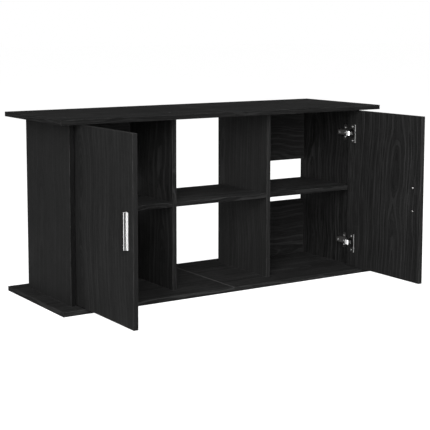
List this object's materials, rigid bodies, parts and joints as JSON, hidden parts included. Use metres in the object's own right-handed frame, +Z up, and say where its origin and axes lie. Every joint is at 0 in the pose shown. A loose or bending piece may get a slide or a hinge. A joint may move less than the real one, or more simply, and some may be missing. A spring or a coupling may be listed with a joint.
{
  "type": "aquarium stand cabinet",
  "caption": "Long black-oak aquarium stand with two hinged inset doors on the outer bays, an open middle bay, shelves, half-height back panels and oversailing top and base boards.",
  "frame": {"origin": "centre of the underside of the base, on the floor, midway between the two ends and midway between the front and back edges of the base boards", "axes": "+X to the right along the cabinet as seen from the front, +Y to the back, +Z up; the doors open towards -Y"},
  "size_m": [1.21, 0.707, 0.58],
  "materials": {
    "black_oak_board": "embossed melamine wood grain, satin",
    "black_oak_door": "embossed melamine wood grain with upright grain, satin",
    "satin_aluminium": "satin anodised",
    "nickel_steel": "nickel-plated pressed steel",
    "zinc_steel": "zinc-plated",
    "zinc_alloy": "raw die-cast",
    "beech_dowel": "raw beech"
  },
  "bodies": {
    "carcass": {"back_panel_left_lower": "black_oak_board", "back_panel_left_upper": "black_oak_board", "back_panel_right_lower": "black_oak_board", "back_panel_right_upper": "black_oak_board", "base_board_left": "black_oak_board", "base_board_right": "black_oak_board", "confirmat_screws_base": "zinc_steel", "confirmat_screws_top": "zinc_steel", "divider_left": "black_oak_board", "divider_right": "black_oak_board", "dowels_back_panels": "beech_dowel", "dowels_base": "beech_dowel", "dowels_seams": "beech_dowel", "dowels_shelves": "beech_dowel", "dowels_top": "beech_dowel", "hinge_adjusting_screws": "zinc_steel", "hinge_left_lower_arm": "nickel_steel", "hinge_left_lower_plate": "nickel_steel", "hinge_left_upper_arm": "nickel_steel", "hinge_left_upper_plate": "nickel_steel", "hinge_plate_screws": "zinc_steel", "hinge_right_lower_arm": "nickel_steel", "hinge_right_lower_plate": "nickel_steel", "hinge_right_upper_arm": "nickel_steel", "hinge_right_upper_plate": "nickel_steel", "seam_bolts": "zinc_steel", "seam_cams": "zinc_alloy", "shelf_centre": "black_oak_board", "shelf_left": "black_oak_board", "shelf_right": "black_oak_board", "side_panel_left": "black_oak_board", "side_panel_right": "black_oak_board", "top_board_left": "black_oak_board", "top_board_right": "black_oak_board"},
    "left_door": {"cup_screws_left": "zinc_steel", "door_left": "black_oak_door", "handle_left": "satin_aluminium", "handle_screws_left": "zinc_steel", "hinge_left_lower_cup": "nickel_steel", "hinge_left_lower_pin": "zinc_steel", "hinge_left_upper_cup": "nickel_steel", "hinge_left_upper_pin": "zinc_steel"},
    "right_door": {"cup_screws_right": "zinc_steel", "door_right": "black_oak_door", "handle_right": "satin_aluminium", "handle_screws_right": "zinc_steel", "hinge_right_lower_cup": "nickel_steel", "hinge_right_lower_pin": "zinc_steel", "hinge_right_upper_cup": "nickel_steel", "hinge_right_upper_pin": "zinc_steel"}
  },
  "joints": [
    {"name": "left_door_hinge", "type": "hinge", "parent": "carcass", "child": "left_door", "pos_m": [-0.5285, -0.1485, 0.29], "axis": [0, 0, 1], "range_deg": [-5, 90]},
    {"name": "right_door_hinge", "type": "hinge", "parent": "carcass", "child": "right_door", "pos_m": [0.5285, -0.1485, 0.29], "axis": [0, 0, -1], "range_deg": [-5, 90]}
  ]
}
